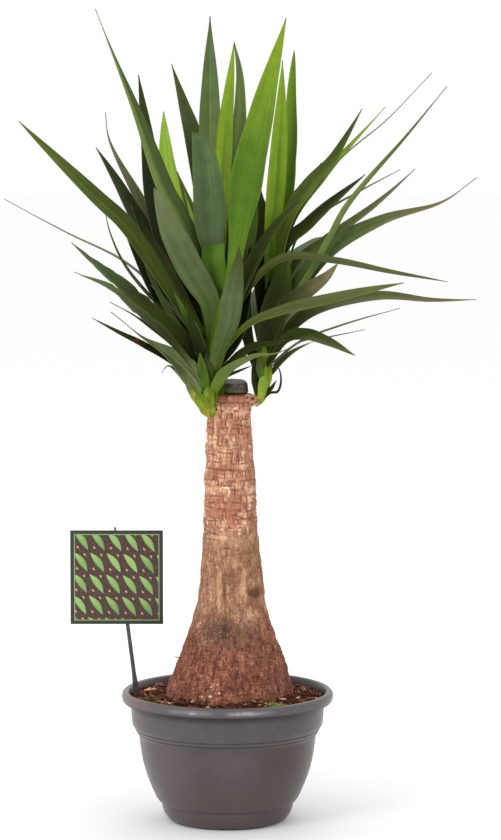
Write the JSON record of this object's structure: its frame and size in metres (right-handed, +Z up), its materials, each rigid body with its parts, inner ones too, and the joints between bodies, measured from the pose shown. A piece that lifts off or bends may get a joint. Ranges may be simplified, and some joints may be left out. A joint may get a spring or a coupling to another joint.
{
  "type": "potted yucca",
  "caption": "Round nursery pot of soil holding a stout, flared trunk with a sealed top and a leafy head on each side, and a square card on a slim stake.",
  "frame": {"origin": "middle of the pot's underside, on the surface it stands on", "axes": "+Z up along the pot's axis, -Y towards the viewer of the picture, -X towards the card on its stake"},
  "size_m": [0.5417, 0.4315, 0.919],
  "materials": {
    "pot_plastic": "satin, moulded, dark grey",
    "soil": "moist peat with bark chips",
    "bark": "rough bark",
    "sealing_wax": "dull wax",
    "leaf": "waxy satin",
    "card": "printed, satin",
    "stake_plastic": "satin"
  },
  "bodies": {
    "root": {"pot": "pot_plastic", "soil": "soil", "trunk": "bark", "wax_cap": "sealing_wax", "left_head": "leaf", "right_head": "leaf", "label_card": "card", "label_stake": "stake_plastic"}
  },
  "joints": []
}
